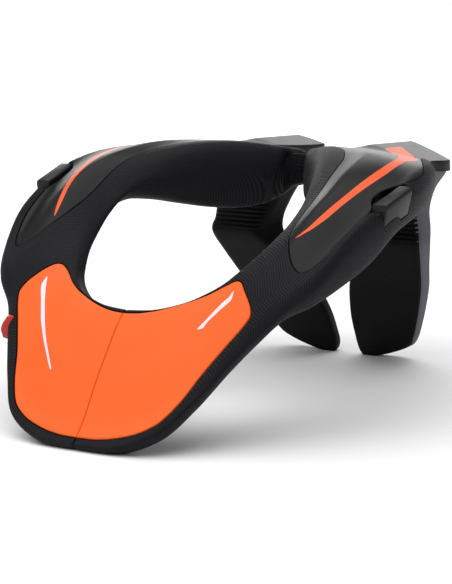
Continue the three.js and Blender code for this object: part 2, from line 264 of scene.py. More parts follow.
# A moulded plastic: a fine etched grain over a slightly uneven colour.
def moulded(name, dark, light, roughness, grainDepth, gloss):
    finish = Finish(name)
    places = finish.places()
    grain = finish.noise(places, 1800.0, 3.0, 0.6)
    broad = finish.noise(places, 18.0, 3.0)
    scuff = finish.noise(places, 90.0, 5.0, 0.7).between(0.52, 0.74)
    finish.set(Base_Color=finish.blend(broad * 0.7 + grain * 0.3, dark, light))
    finish.set(Roughness=roughness + grain * 0.06 + scuff * 0.05)
    finish.set(Normal=finish.bump(grain, grainDepth * mm, 0.6), Specular_IOR_Level=gloss)
    return finish.material


plastics = {
    "orangePanel": (shade(255, 98, 30), shade(255, 110, 42), 0.5, 0.03, 0.24),
    "shellPlastic": (shade(10, 10, 11), shade(15, 15, 16), 0.4, 0.03, 0.18),
    "shellPrint": (shade(255, 88, 32), shade(255, 100, 44), 0.45, 0.02, 0.28),
    "panelPrint": (shade(236, 222, 238), shade(246, 236, 248), 0.45, 0.02, 0.35),
    "clipPlastic": (shade(12, 12, 14), shade(20, 20, 22), 0.38, 0.03, 0.35),
    "tabPlastic": (shade(190, 42, 34), shade(205, 54, 44), 0.4, 0.02, 0.45),
}
finishes = {name: moulded(name, *values) for name, values in plastics.items()}
finishes["ribbedFabric"] = ribbedFabric()
finishes["legFabric"] = legFabric()
finishes["sideStripLitFabric"] = sideStripLitFabric()
print("materials made")

# Overall sizes in millimetres. The tables below hold shares of them.
braceSizes = {"halfWidth": 128.0, "length": 290.0, "height": 145.0, "frontY": -142.95}


def atX(share):
    return share * braceSizes["halfWidth"] * mm


def atY(share):
    return (braceSizes["frontY"] + share * braceSizes["length"]) * mm


def atZ(share):
    return share * braceSizes["height"] * mm


# inX, inY, outX, outY, crown, ridgeV, ridge, dip, shoulder, rim, outBotV, outBot, inBotV, inBot
collarRows = [
    [0.0, 0.194, 0.0, -0.01, 0.484, 0.5, 0.302, 0.096, 0.045, 0.022, 0.84, -0.012, -0.17, 0.39],
    [0.14, 0.199, 0.21, -0.006, 0.494, 0.5, 0.31, 0.106, 0.056, 0.028, 0.84, -0.006, -0.17, 0.4],
    [0.27, 0.214, 0.405, 0.022, 0.524, 0.5, 0.368, 0.17, 0.125, 0.09, 0.82, 0.055, -0.14, 0.43],
    [0.345, 0.234, 0.525, 0.075, 0.556, 0.5, 0.436, 0.288, 0.24, 0.2, 0.81, 0.165, -0.08, 0.47],
    [0.395, 0.258, 0.625, 0.132, 0.59, 0.5, 0.53, 0.416, 0.376, 0.33, 0.81, 0.29, 0.0, 0.515],
    [0.43, 0.286, 0.712, 0.182, 0.632, 0.48, 0.612, 0.531, 0.49, 0.44, 0.82, 0.39, 0.06, 0.56],
    [0.467, 0.322, 0.812, 0.214, 0.685, 0.46, 0.675, 0.605, 0.58, 0.53, 0.84, 0.48, 0.1, 0.61],
    [0.495, 0.366, 0.892, 0.264, 0.742, 0.46, 0.758, 0.672, 0.655, 0.6, 0.85, 0.52, 0.1, 0.665],
    [0.51, 0.415, 0.948, 0.338, 0.802, 0.47, 0.845, 0.755, 0.77, 0.705, 0.87, 0.58, 0.1, 0.735],
    [0.505, 0.462, 0.98, 0.417, 0.86, 0.45, 0.908, 0.838, 0.845, 0.78, 0.88, 0.645, 0.08, 0.79],
    [0.472, 0.505, 0.995, 0.498, 0.912, 0.44, 0.952, 0.905, 0.905, 0.85, 0.9, 0.735, 0.06, 0.81],
    [0.41, 0.555, 0.988, 0.566, 0.95, 0.44, 0.975, 0.945, 0.938, 0.875, 0.9, 0.765, 0.05, 0.793],
    [0.34, 0.605, 0.945, 0.637, 0.975, 0.44, 0.988, 0.965, 0.955, 0.895, 0.9, 0.775, 0.05, 0.76],
    [0.262, 0.653, 0.865, 0.712, 0.986, 0.44, 0.992, 0.965, 0.955, 0.895, 0.9, 0.785, 0.05, 0.732],
    [0.182, 0.696, 0.755, 0.783, 0.983, 0.42, 0.988, 0.955, 0.942, 0.885, 0.9, 0.79, 0.04, 0.722],
    [0.11, 0.73, 0.6, 0.828, 0.972, 0.42, 0.975, 0.945, 0.93, 0.87, 0.9, 0.765, 0.03, 0.735],
    [0.055, 0.757, 0.35, 0.853, 0.957, 0.45, 0.958, 0.938, 0.925, 0.87, 0.9, 0.765, 0.03, 0.765],
    [0.0, 0.782, 0.0, 0.862, 0.947, 0.5, 0.945, 0.93, 0.92, 0.87, 0.9, 0.793, 0.03, 0.793],
]
collarForm = {
    "stationsPerRow": 14,
    "pointsPerSpan": 12,
    "dipV": 0.84,
    "crownV": 0.1,
    "shoulderV": 0.95,
    "chestRun": 0.16,  # share of the first row that gets close stations
    "chestStations": 9,
    "rearStations": 60,
    "clothZero": 0.42,
    "seamHalfGap": 0.14,  # mm, as the next four
    "padGap": 6.3,
    "seamRound": 1.3,
    "padRound": 5.0,
    "trimReach": 40.0,
}


# A table's rows at places between them, on a smooth curve through each column.
def rowsAt(rows, places):
    table = np.array(rows, float)
    last = len(table) - 1
    i = np.clip(np.floor(places).astype(int), 0, last - 1)
    t = (places - i)[:, None]
    a, b, c, d = (table[np.clip(i + k, 0, last)] for k in (-1, 0, 1, 2))
    leave, arrive, rise = (c - a) / 2, (d - b) / 2, c - b
    return b + t * (leave + t * (3 * rise - 2 * leave - arrive + t * (leave + arrive - 2 * rise)))


# A closed smooth curve through control points, for many sections at once: (sections, points, 2).
def closedCurves(controls, perSpan):
    spans = controls.shape[1]
    before, start, end, after = (np.roll(controls, -k, axis=1) for k in (-1, 0, 1, 2))

    def gap(p, q):
        return np.maximum(np.linalg.norm(q - p, axis=2, keepdims=True), 1e-9) ** 0.5

    g0, g1, g2 = gap(before, start), gap(start, end), gap(end, after)
    leave = ((start - before) / g0 - (end - before) / (g0 + g1) + (end - start) / g1) * g1
    arrive = ((end - start) / g1 - (after - start) / (g1 + g2) + (after - end) / g2) * g1
    t = (np.arange(perSpan) / perSpan)[None, None, :, None]
    s, e, l, r = (x[:, :, None, :] for x in (start, end, leave, arrive))
    curve = s + t * (l + t * (3 * (e - s) - 2 * l - r + t * (l + r - 2 * (e - s))))
    return curve.reshape(len(controls), spans * perSpan, 2)


def collarSections(places):
    rows = rowsAt(collarRows, places)
    inX, inY, outX, outY, crown, ridgeV, ridge = rows.T[:7]
    dip, shoulder, rim, outBotV, outBot, inBotV, inBot = rows.T[7:]
    inner = np.stack([atX(inX), atY(inY)], axis=1)
    outer = np.stack([atX(outX), atY(outY)], axis=1)
    span = np.linalg.norm(outer - inner, axis=1)
    ones = np.ones_like(span)
    across = [0 * ones, collarForm["crownV"] * ones, ridgeV, collarForm["dipV"] * ones,
              collarForm["shoulderV"] * ones, ones, outBotV, (outBotV + inBotV) / 2, inBotV]
    heights = [(crown + inBot) / 2, crown, ridge, dip, shoulder, rim,
               outBot, (outBot + inBot) / 2, inBot]
    controls = np.stack([np.stack(across, 1) * span[:, None], atZ(np.stack(heights, 1))], axis=2)
    curve = closedCurves(controls, collarForm["pointsPerSpan"])
    share = curve[:, :, 0] / span[:, None]
    plan = inner[:, None] + (outer - inner)[:, None] * share[:, :, None]
    return np.concatenate([plan, curve[:, :, 1:]], axis=2)


def meshObject(name, verts, faces, finishNames):
    mesh = bpy.data.meshes.new(name)
    mesh.from_pydata([tuple(v) for v in verts], [], faces)
    mesh.validate()
    for finishName in finishNames:
        mesh.materials.append(finishes[finishName])
    mesh.polygons.foreach_set("use_smooth", [True] * len(mesh.polygons))
    return placed(name, mesh)


def copied(thing):
    twin = thing.copy()
    twin.data = thing.data.copy()
    bpy.context.collection.objects.link(twin)
    return twin


def editMesh(thing, work):
    mesh = bmesh.new()
    mesh.from_mesh(thing.data)
    work(mesh)
    mesh.to_mesh(thing.data)
    mesh.free()
    thing.data.update()


def faceOutward(thing):
    editMesh(thing, lambda mesh: bmesh.ops.recalc_face_normals(mesh, faces=mesh.faces))


def sharpen(thing, degrees):
    bpy.ops.object.select_all(action="DESELECT")
    thing.select_set(True)
    bpy.context.view_layer.objects.active = thing
    bpy.ops.object.shade_smooth_by_angle(angle=math.radians(degrees))


def applyModifiers(thing):
    evaluated = thing.evaluated_get(bpy.context.evaluated_depsgraph_get())
    plain = bpy.data.meshes.new_from_object(evaluated)
    thing.modifiers.clear()
    old = thing.data
    thing.data = plain
    bpy.data.meshes.remove(old)


def carve(thing, cutter):
    modifier = thing.modifiers.new("cut", "BOOLEAN")
    modifier.operation = "DIFFERENCE"
    modifier.solver = "EXACT"
    modifier.object = cutter
    applyModifiers(thing)
    bpy.data.objects.remove(cutter)


def collarPlaces():
    perRow = collarForm["stationsPerRow"]
    last = len(collarRows) - 1
    run = collarForm["chestRun"]
    chest = np.linspace(0, run, collarForm["chestStations"])[:-1]
    middle = np.linspace(run, last - 2, int((last - 2) * perRow))
    rear = np.linspace(last - 2, last, collarForm["rearStations"])[1:]
    return np.concatenate([chest, middle, rear])


# Faces between rings of points, and fans to two points after them where the ends are closed.
def ringFaces(rings, points, capped):
    faces = []
    for i in range(rings - 1):
        near, far = i * points, (i + 1) * points
        for j in range(points):
            k = (j + 1) % points
            faces.append((near + j, near + k, far + k, far + j))
    for j in range(points if capped else 0):
        k = (j + 1) % points
        faces.append((rings * points, k, j))
        faces.append((rings * points + 1, (rings - 1) * points + j, (rings - 1) * points + k))
    return faces


def loft(name, sections, capped, finishNames):
    rings, points = sections.shape[:2]
    verts = sections.reshape(-1, 3)
    if capped:
        verts = np.concatenate([verts, [sections[0].mean(axis=0), sections[-1].mean(axis=0)]])
    return meshObject(name, verts, ringFaces(rings, points, capped), finishNames)


# The whole padded half as one loft, with a cloth map measured along and across it.
def loftCollar(name, capped):
    sections = collarSections(collarPlaces())
    rings, points = sections.shape[:2]
    thing = loft(name, sections, capped, ["ribbedFabric"])
    steps = np.linalg.norm(np.diff(sections, axis=0), axis=2)
    runs = np.concatenate([np.zeros((1, points)), np.cumsum(steps, axis=0)])
    middle = int(rings * collarForm["clothZero"])
    runs = runs - runs[middle] + runs[middle].mean()
    closed = np.concatenate([sections, sections[:, :1]], axis=1)
    spans = np.linalg.norm(np.diff(closed, axis=1), axis=2)
    rounds = np.concatenate([np.zeros((rings, 1)), np.cumsum(spans, 1)], 1)
    cloth = thing.data.uv_layers.new(name="cloth")
    for polygon in thing.data.polygons:
        corners = list(polygon.vertices)
        columns = [v % points for v in corners if v < rings * points]
        wraps = points - 1 in columns and 0 in columns
        for loop, v in zip(polygon.loop_indices, corners):
            if v >= rings * points:
                row = 0 if v == rings * points else rings - 1
                cloth.data[loop].uv = (runs[row].mean(), rounds[row].mean())
                continue
            row, column = divmod(v, points)
            around = points if wraps and column == 0 else column
            cloth.data[loop].uv = (runs[row, column], rounds[row, around])
    faceOutward(thing)
    return thing


def spotsAndNormals(mesh):
    spots = np.array([v.co[:] for v in mesh.vertices])
    return spots, np.array([v.normal[:] for v in mesh.vertices])


# Rounds the fabric over at a cut face: the skin draws in towards it.
def drawIn(thing, reach, place, chestSide):
    mesh = thing.data
    spots, normals = spotsAndNormals(mesh)
    side = spots[:, 1] < 0 if chestSide else spots[:, 1] > 0
    depth = np.clip(spots[:, 0] - place, 0, reach)
    inset = reach - np.sqrt(reach**2 - (reach - depth) ** 2)
    spots[side] -= (normals * inset[:, None])[side]
    mesh.vertices.foreach_set("co", spots.ravel())
    mesh.update()


skin = loftCollar("collarSkin", True)
skinTree = BVHTree.FromPolygons(
    [v.co[:] for v in skin.data.vertices], [p.vertices[:] for p in skin.data.polygons]
)
print("collar skin lofted", len(skin.data.vertices))


# A smooth line through points given as shares, resampled at an even spacing.
def smoothLine(points, spacing, closed, tension=0.5, perSpan=24):
    knots = np.array(points, float)
    count = len(knots)
    index = np.arange(count if closed else count - 1)
    mode = "wrap" if closed else "clip"
    a, b, c, d = (np.take(knots, index + k, 0, mode=mode)[:, None] for k in (-1, 0, 1, 2))
    t = (np.arange(perSpan) / perSpan)[None, :, None]
    leave, arrive, rise = tension * (c - a), tension * (d - b), c - b
    bend = 3 * rise - 2 * leave - arrive + t * (leave + arrive - 2 * rise)
    line = (b + t * (leave + t * bend)).reshape(-1, 2)
    line = np.concatenate([line, line[:1] if closed else knots[-1:]])
    runs = np.concatenate([[0], np.cumsum(np.linalg.norm(np.diff(line, axis=0), axis=1))])
    number = max(int(runs[-1] / spacing), 4)
    even = np.linspace(0, runs[-1], number + 1)
    line = np.stack([np.interp(even, runs, line[:, k]) for k in (0, 1)], axis=1)
    return line[:-1] if closed else line


def turnLeft(loop):
    x, y = loop.T
    area = np.sum(x * np.roll(y, -1) - np.roll(x, -1) * y)
    return loop if area > 0 else loop[::-1]


def moveIn(loop, distance):
    along = np.roll(loop, -1, axis=0) - np.roll(loop, 1, axis=0)
    along /= np.linalg.norm(along, axis=1)[:, None]
    return loop + np.stack([-along[:, 1], along[:, 0]], axis=1) * distance


def insideLoop(points, loop):
    x, y = points[:, 0][:, None], points[:, 1][:, None]
    ax, ay = loop.T
    bx, by = np.roll(loop, -1, axis=0).T
    crosses = ((ay > y) != (by > y)) & (x < (bx - ax) * (y - ay) / (by - ay + 1e-18) + ax)
    return crosses.sum(axis=1) % 2 == 1


def farFrom(points, loop, distance):
    gaps = np.linalg.norm(points[:, None] - loop[None], axis=2).min(axis=1)
    return points[gaps > distance]


# A thin solid draped over a surface: its outline is drawn flat, its edge is rounded, and prints
# are outlines inside it that get a finish of their own. settle(points) gives their places.
def drapedPlate(
    name, loop, settle, down, thickness, edge, finishNames,
    prints=(), lines=(), grid=1.6 * mm, lift=0.0,
):
    loop = turnLeft(loop)
    steps = 5 if edge > 0 else 0
    angles = [math.pi / 2 * k / steps for k in range(steps + 1)] if steps else [0.0]
    loops = [moveIn(loop, edge * (1 - math.cos(a))) for a in angles]
    drops = [edge * (1 - math.sin(a)) for a in angles]
    core = loops[-1]
    low, high = core.min(axis=0), core.max(axis=0)
    xs, ys = np.arange(low[0], high[0], grid), np.arange(low[1], high[1], grid * 0.866)
    lattice = np.array([(x + (row % 2) * grid / 2, y) for row, y in enumerate(ys) for x in xs])
    inner = farFrom(lattice[insideLoop(lattice, core)], core, grid * 0.55)
    marks = [turnLeft(m) for m, _ in prints]
    for mark in (*marks, *lines):
        inner = farFrom(inner, mark, grid * 0.45)
    flat = [core, *marks, *lines, inner]
    starts = np.cumsum([0, *[len(f) for f in flat]])
    edges = []
    for k, line in enumerate(flat[:-1]):
        start, size = int(starts[k]), len(line)
        ends = size if k <= len(marks) else size - 1
        edges += [(start + i, start + (i + 1) % size) for i in range(ends)]
    flatPoints = [Vector(p) for p in np.concatenate(flat)]
    points, _, triangles, _, _, _ = delaunay_2d_cdt(flatPoints, edges, [], 0, 1e-9)
    points = np.array([p[:] for p in points])
    triangles = np.array([t for t in triangles if len(t) == 3])
    centres = points[triangles].mean(axis=1)
    triangles = triangles[insideLoop(centres, core)]
    centres = points[triangles].mean(axis=1)
    paints = np.zeros(len(triangles), int)
    for mark, (_, paint) in zip(marks, prints):
        paints[insideLoop(centres, mark)] = paint
    along = np.array(down) / np.linalg.norm(down)
    flatAll = np.concatenate([*loops[:-1], points])
    dropAll = np.concatenate([*[np.full(len(loop), d) for d in drops[:-1]], np.zeros(len(points))])
    settled = settle(flatAll)
    top = settled + along * (dropAll - lift)[:, None]
    depth = thickness(flatAll) if callable(thickness) else np.full(len(flatAll), thickness)
    bottom = settled + along * depth[:, None]
    count, size = len(flatAll), len(loop)
    base = len(loops[:-1]) * size
    faces = ringFaces(len(loops), size, False)
    finishOf = [*[0] * len(faces), *[int(paint) for paint in paints]]
    faces += [tuple(int(base + i) for i in triangle) for triangle in triangles]
    faces += [tuple(count + i for i in reversed(face)) for face in faces]
    faces += [(count + i, count + (i + 1) % size, (i + 1) % size, i) for i in range(size)]
    finishOf += [0] * (len(faces) - len(finishOf))
    thing = meshObject(name, np.concatenate([top, bottom]), faces, finishNames)
    thing.data.polygons.foreach_set("material_index", finishOf)
    faceOutward(thing)
    return thing


# Chest panels: drawn on the plate's slope, from the foot of the seam outward and up.
panelForm = {
    "thickness": 3.0,
    "edge": 0.9,
    "groove": 0.8,
    "proud": 0.25,
    "topY": 0.194,
    "topZ": 0.484,
    "footZ": 0.045,
    "outline": [
        [0.0, 0.05], [0.1, 0.052], [0.2, 0.063], [0.31, 0.087], [0.4, 0.128], [0.465, 0.2],
        [0.52, 0.294], [0.585, 0.386], [0.632, 0.45], [0.65, 0.49], [0.628, 0.524],
        [0.57, 0.568], [0.525, 0.598], [0.49, 0.602], [0.445, 0.582], [0.385, 0.545],
        [0.32, 0.515], [0.25, 0.492], [0.19, 0.475], [0.13, 0.462], [0.07, 0.453], [0.0, 0.449],
    ],
    # The pale bars, in millimetres across and up; the two sides differ.
    "bars": {
        "right": [
            [65.8, 82.1], [67.5, 77.2], [63.1, 72.0], [57.8, 65.7], [56.8, 62.9], [53.4, 61.9],
            [55.0, 64.7], [58.6, 70.1], [62.2, 75.5], [65.0, 78.6],
        ],
        "left": [
            [67.3, 79.7], [68.1, 74.7], [63.4, 67.4], [57.2, 57.9], [49.9, 50.1], [42.6, 42.7],
            [36.9, 36.7], [35.0, 35.2], [34.8, 35.9], [41.7, 43.7], [48.4, 51.1], [54.2, 58.0],
            [59.6, 65.8], [64.1, 73.6],
        ],
    },
}
plateTop = Vector((atY(panelForm["topY"]), atZ(panelForm["topZ"])))
plateFoot = Vector((atY(0), atZ(panelForm["footZ"])))
plateRun = (plateTop - plateFoot).normalized()
plateNormal = np.array([0, -plateRun.y, plateRun.x])


def ontoPlate(points):
    heights = points[:, 1] * plateRun.y
    outY = plateFoot.x + (heights - plateFoot.y) * plateRun.x / plateRun.y
    spots = np.stack([points[:, 0], outY, heights], axis=1)
    settled = []
    for spot in spots:
        start = Vector(spot + plateNormal * 0.06)
        start.x = max(abs(start.x), 0.0005)
        hit = skinTree.ray_cast(start, Vector(-plateNormal))
        settled.append((spot[0], hit[0].y, hit[0].z) if hit[0] else spot)
    return np.array(settled)


def plateShares(points):
    return np.array([[atX(x), atZ(z) / plateRun.y] for x, z in points])


def panelLoop(grow, spacing):
    line = turnLeft(smoothLine(plateShares(panelForm["outline"]), spacing, False, 0.4))
    line = moveIn(line, -grow)[1:-1]
    start = collarForm["seamHalfGap"] * mm if grow == 0 else -4 * mm
    line = line[line[:, 0] > 1.5 * mm]
    ends = np.array([[start, line[-1][1]], [start, line[0][1]]])
    runs = [np.linspace(a, b, max(int(np.linalg.norm(b - a) / spacing), 1) + 1)[:-1]
            for a, b in ((line[-1], ends[0]), (ends[0], ends[1]), (ends[1], line[0]))]
    return turnLeft(np.concatenate([line[:-1], *runs]))


def makePanel(side):
    bar = np.array([[x * mm, z * mm / plateRun.y] for x, z in panelForm["bars"][side]])
    return drapedPlate(
        "front_panel_" + side, panelLoop(0, 1.1 * mm), ontoPlate, -plateNormal,
        panelForm["thickness"] * mm, panelForm["edge"] * mm, ["orangePanel", "panelPrint"],
        [(smoothLine(bar, 1.0 * mm, True, 0.3), 1)], lift=panelForm["proud"] * mm,
    )


panel, panelOther = makePanel("right"), makePanel("left")
panelCutter = drapedPlate(
    "panelCutter", panelLoop(panelForm["groove"] * mm, 1.1 * mm), ontoPlate, -plateNormal,
    (panelForm["thickness"] + 0.3) * mm, 0, ["ribbedFabric"], lift=8 * mm, grid=3 * mm,
)
print("chest panel draped", len(panel.data.polygons))

# Arm shell with its tail: one plate drawn in plan, from its tip along the neck side, round the
# flat tail, and back along the outside past the clip's notch.
shellForm = {
    "thickness": 3.2,
    "tailThickness": 6.5,
    "edge": 0.6,
    "groove": 0.5,
    "outline": [
        [0.785, 0.266], [0.735, 0.278], [0.69, 0.3], [0.655, 0.325], [0.635, 0.352], [0.62, 0.385],
        [0.614, 0.42], [0.612, 0.457], [0.605, 0.492], [0.588, 0.528], [0.566, 0.562],
        [0.538, 0.596], [0.5, 0.627], [0.458, 0.655], [0.408, 0.68], [0.352, 0.703],
        [0.3, 0.73], [0.255, 0.765], [0.215, 0.81], [0.185, 0.86], [0.168, 0.91], [0.16, 0.96],
        [0.165, 0.985], [0.19, 0.994], [0.336, 0.997], [0.5, 0.96], [0.655, 0.914],
        [0.683, 0.9], [0.686, 0.876], [0.675, 0.84], [0.69, 0.795], [0.74, 0.745], [0.81, 0.7],
        [0.868, 0.662], [0.912, 0.632], [0.945, 0.605], [0.962, 0.57], [0.955, 0.535],
        [0.915, 0.518], [0.885, 0.49], [0.885, 0.462], [0.915, 0.438], [0.915, 0.4],
        [0.9, 0.355], [0.875, 0.317], [0.845, 0.285], [0.817, 0.27],
    ],
    "crease": {
        "x": 0.336, "frontY": 0.78, "frontZ": 0.985,
        "fallIn": 0.22, "fallOut": 0.19, "fallBack": 0.085,
    },
    # A crisp ridge along the arm: millimetres in plan, its height, and its reach on either side.
    "ridge": [[84.0, -45.0], [87.5, -37.0], [89.5, -28.0], [89.8, -15.0], [88.0, 0.5],
              [84.0, 20.0], [77.0, 40.0], [64.0, 62.0], [50.0, 80.0]],
    "ridgeHeight": 1.9,
    "ridgeIn": 9.5,
    "ridgeOut": 24.0,
    "ridgeRise": 18.0,
    "ridgeEnd": 75.0,
    "ridgeFade": 30.0,
    # Shares of the length where the shell leaves the collar for the flat tail and thickens.
    "leave": (0.74, 0.1),
    "thicken": (0.76, 0.1),
    "overhang": 0.8,
    # The orange prints, in millimetres in plan: out along one edge, round the rear patch, and back
    # along the other edge. The two sides' edges differ.
    "stripes": {
        "right": (
            [[88.4, -50.0], [95.2, -44.0], [99.9, -34.8], [102.8, -21.5], [104.9, -8.3],
             [106.4, 5.7], [106.2, 20.0], [102.7, 39.5]],
            [[95.8, 42.5], [97.7, 35.2], [100.4, 20.2], [101.4, 3.1], [100.3, -14.6], [97.5, -31.0],
             [93.5, -42.6]],
        ),
        "left": (
            [[87.2, -48.6], [89.7, -44.2], [92.1, -36.9], [94.7, -27.8], [98.6, -15.2],
             [101.6, -0.3], [104.5, 15.7], [105.8, 28.7], [104.5, 40.5]],
            [[95.8, 44.0], [97.4, 37.1], [96.9, 25.3], [95.4, 12.9], [94.7, 0.8], [94.2, -9.2],
             [92.9, -20.3], [90.9, -30.2], [89.0, -37.6]],
        ),
    },
    "patch": [[100.2, 48.5], [100.1, 60.5], [99.4, 62.0], [87.5, 80.0], [75.7, 96.9], [65.0, 106.6],
              [54.5, 116.5], [53.4, 116.0], [53.6, 99.0], [54.5, 97.4], [61.4, 92.8], [70.0, 84.0],
              [78.4, 73.0], [86.6, 62.4], [92.6, 51.0]],
}
shellRidge = smoothLine(np.array(shellForm["ridge"]) * mm, 0.5 * mm, False)


# How far the ridge lifts the shell at points in plan.
def ridgeLift(points):
    gaps = np.linalg.norm(points[:, None] - shellRidge[None], axis=2)
    nearest = gaps.argmin(axis=1)
    along = np.gradient(shellRidge, axis=0)[nearest]
    off = points - shellRidge[nearest]
    neckSide = along[:, 0] * off[:, 1] - along[:, 1] * off[:, 0] > 0
    reach = np.where(neckSide, shellForm["ridgeIn"], shellForm["ridgeOut"]) * mm
    start = np.clip((nearest * 0.5 + 2) / shellForm["ridgeRise"], 0, 1)
    toEnd = shellForm["ridgeEnd"] * mm - points[:, 1]
    fade = start * np.clip(toEnd / (shellForm["ridgeFade"] * mm), 0, 1)
    return shellForm["ridgeHeight"] * mm * np.clip(1 - gaps.min(axis=1) / reach, 0, 1) * fade


def tailHeight(points):
    crease = shellForm["crease"]
    off = points[:, 0] - atX(crease["x"])
    fall = np.where(off < 0, -off * crease["fallIn"], off * crease["fallOut"])
    back = points[:, 1] - atY(crease["frontY"])
    return atZ(crease["frontZ"]) - fall - crease["fallBack"] * back


def skinHeight(points):
    heights = []
    for x, y in points:
        hit = skinTree.ray_cast(Vector((x, y, 0.3)), Vector((0, 0, -1)))
        heights.append(hit[0].z if hit[0] else -1.0)
    return np.array(heights)


def ontoShell(points):
    skinZ, tailZ = skinHeight(points), tailHeight(points)
    share = (points[:, 1] - atY(0)) / (braceSizes["length"] * mm)
    begin, run = shellForm["leave"]
    tail = np.clip((share - begin) / run, 0, 1)
    tail = tail * tail * (3 - 2 * tail)
    tail = np.where(skinZ < 0, 1.0, tail)
    gap = np.clip((skinZ - tailZ) / 0.012, -1, 0)
    tail = np.where(share > shellForm["overhang"], np.maximum(tail, -gap), tail)
    heights = skinZ * (1 - tail) + tailZ * tail + ridgeLift(points)
    return np.column_stack([points, heights])


def shellDepth(points):
    share = (points[:, 1] - atY(0)) / (braceSizes["length"] * mm)
    begin, run = shellForm["thicken"]
    tail = np.clip((share - begin) / run, 0, 1)
    thin, thick = shellForm["thickness"], shellForm["tailThickness"]
    return (thin + (thick - thin) * tail) * mm


def planShares(points):
    return np.array([[atX(x), atY(y)] for x, y in points])


shellLoop = turnLeft(smoothLine(planShares(shellForm["outline"]), 1.1 * mm, True))


def makeShell(side):
    outward, inward = shellForm["stripes"][side]
    outline = np.array([*outward, *shellForm["patch"], *inward])
    stripe = smoothLine(outline * mm, 1.0 * mm, True, 0.4)
    return drapedPlate(
        "arm_shell_" + side, shellLoop, ontoShell, (0, 0, -1), shellDepth, shellForm["edge"] * mm,
        ["shellPlastic", "shellPrint"], [(stripe, 1)], lines=[shellRidge[6::3]],
    )


shell, shellOther = makeShell("right"), makeShell("left")
shellCutter = drapedPlate(
    "shellCutter", moveIn(shellLoop, -shellForm["groove"] * mm), ontoShell, (0, 0, -1),
    lambda points: shellDepth(points) + 0.3 * mm, 0, ["ribbedFabric"], lift=12 * mm, grid=3 * mm,
)
print("arm shell draped", len(shell.data.polygons))


# A place on the outer wall's rim, with the directions along the wall and out of it.
def wallFrame(place):
    step = 0.3
    rows = rowsAt(collarRows, np.array([place - step, place, place + step]))
    spots = [Vector((atX(r[2]), atY(r[3]), 0)) for r in rows]
    along = (spots[2] - spots[0]).normalized()
    point = spots[1].copy()
    point.z = atZ(rows[1][9])
    return point, along, Vector((along.y, -along.x, 0))


# A closed block with bevelled edges, from a profile drawn outward and upward on the outer wall.
def wallBlock(name, place, profile, width, rise, finishName, bevel):
    point, along, out = wallFrame(place)
    along = along + Vector((0, 0, rise / width))
    verts = []
    for side in (-0.5, 0.5):
        for u, w in profile:
            spot = point + out * (u * mm) + Vector((0, 0, w * mm))
            verts.append(spot + along * (side * width * mm))
    n = len(profile)
    faces = [tuple(range(n)), tuple(reversed(range(n, 2 * n)))]
    faces += [(i, n + i, n + (i + 1) % n, (i + 1) % n) for i in range(n)]
    thing = meshObject(name, verts, faces, [finishName])
    faceOutward(thing)
    if bevel:
        modifier = thing.modifiers.new("edges", "BEVEL")
        modifier.width = bevel * mm
        modifier.segments = 3
        modifier.limit_method = "ANGLE"
        modifier.angle_limit = math.radians(20)
        applyModifiers(thing)
        sharpen(thing, 40)
    return thing


clipForm = {"place": 9.75, "length": 25.0, "top": 8.5, "drop": 16.0, "rise": 7.0, "above": 9.0}
tabForm = {
    "place": 4.4, "height": 14.0, "width": 6.0, "proud": 4.5,
    "depth": 4.0, "travel": 2.5, "drop": 1.0,
}
pocketGap = 0.3


def clipProfile(grow):
    top, drop, above = clipForm["top"], clipForm["drop"], clipForm["above"] + grow
    return [
        (-top - grow, above - 1.5), (-top + 1.5, above), (0, above), (1.5 + grow, above - 1.5),
        (1.5 + grow, above - top / 2), (-1.5 + grow, above - drop - 2 * grow),
        (-5 - grow, above - drop - 2 * grow), (-top - grow, above - top),
    ]


def tabProfile(grow, deeper):
    half, proud, depth = tabForm["height"] / 2 + grow, tabForm["proud"], tabForm["depth"] + deeper
    corners = [
        (-depth, -half), (0, -half), (proud * 0.75, -half * 0.8), (proud, -half * 0.1),
        (proud * 0.75, half * 0.35), (0, half), (-depth, half),
    ]
    return [(u, w - tabForm["drop"]) for u, w in corners]


def makeClip(name, grow, finishName, bevel):
    width, rise = clipForm["length"] + 2 * grow, clipForm["rise"]
    return wallBlock(name, clipForm["place"], clipProfile(grow), width, rise, finishName, bevel)


def makeTab(name, grow, deeper, finishName, bevel):
    width = tabForm["width"] + 2 * grow
    return wallBlock(name, tabForm["place"], tabProfile(grow, deeper), width, 0, finishName, bevel)


clip = makeClip("strap_clip_right", 0, "clipPlastic", 0.9)
clipCutter = makeClip("clipCutter", pocketGap, "ribbedFabric", 0)
tab = makeTab("release_tab", 0, 0, "tabPlastic", 0.8)
tabCutter = makeTab("tabCutter", pocketGap, tabForm["travel"] + pocketGap, "ribbedFabric", 0)

# The shell's notch, where the fabric lies lower round the clip.
recessForm = {
    "place": 9.7, "extra": 7,
    "profile": [(-13.5, 30), (8, 30), (8, 3.6), (-10.5, 3.6), (-13.5, 5.5)],
}
recess = wallBlock(
    "recess", recessForm["place"], recessForm["profile"], clipForm["length"] + recessForm["extra"],
    clipForm["rise"], "ribbedFabric", 0,
)
print("clip and tab made")

collar = loftCollar("collar_right", False)
drawIn(collar, collarForm["seamRound"] * mm, collarForm["seamHalfGap"] * mm, True)
drawIn(collar, collarForm["padRound"] * mm, collarForm["padGap"] * mm, False)


def cutAway(mesh, geometry, place, direction):
    bmesh.ops.bisect_plane(
        mesh, geom=geometry, plane_co=place, plane_no=direction, clear_inner=True
    )


def fillHoles(mesh):
    bmesh.ops.holes_fill(mesh, edges=[e for e in mesh.edges if e.is_boundary])


def wholeOf(mesh):
    return [*mesh.verts, *mesh.edges, *mesh.faces]


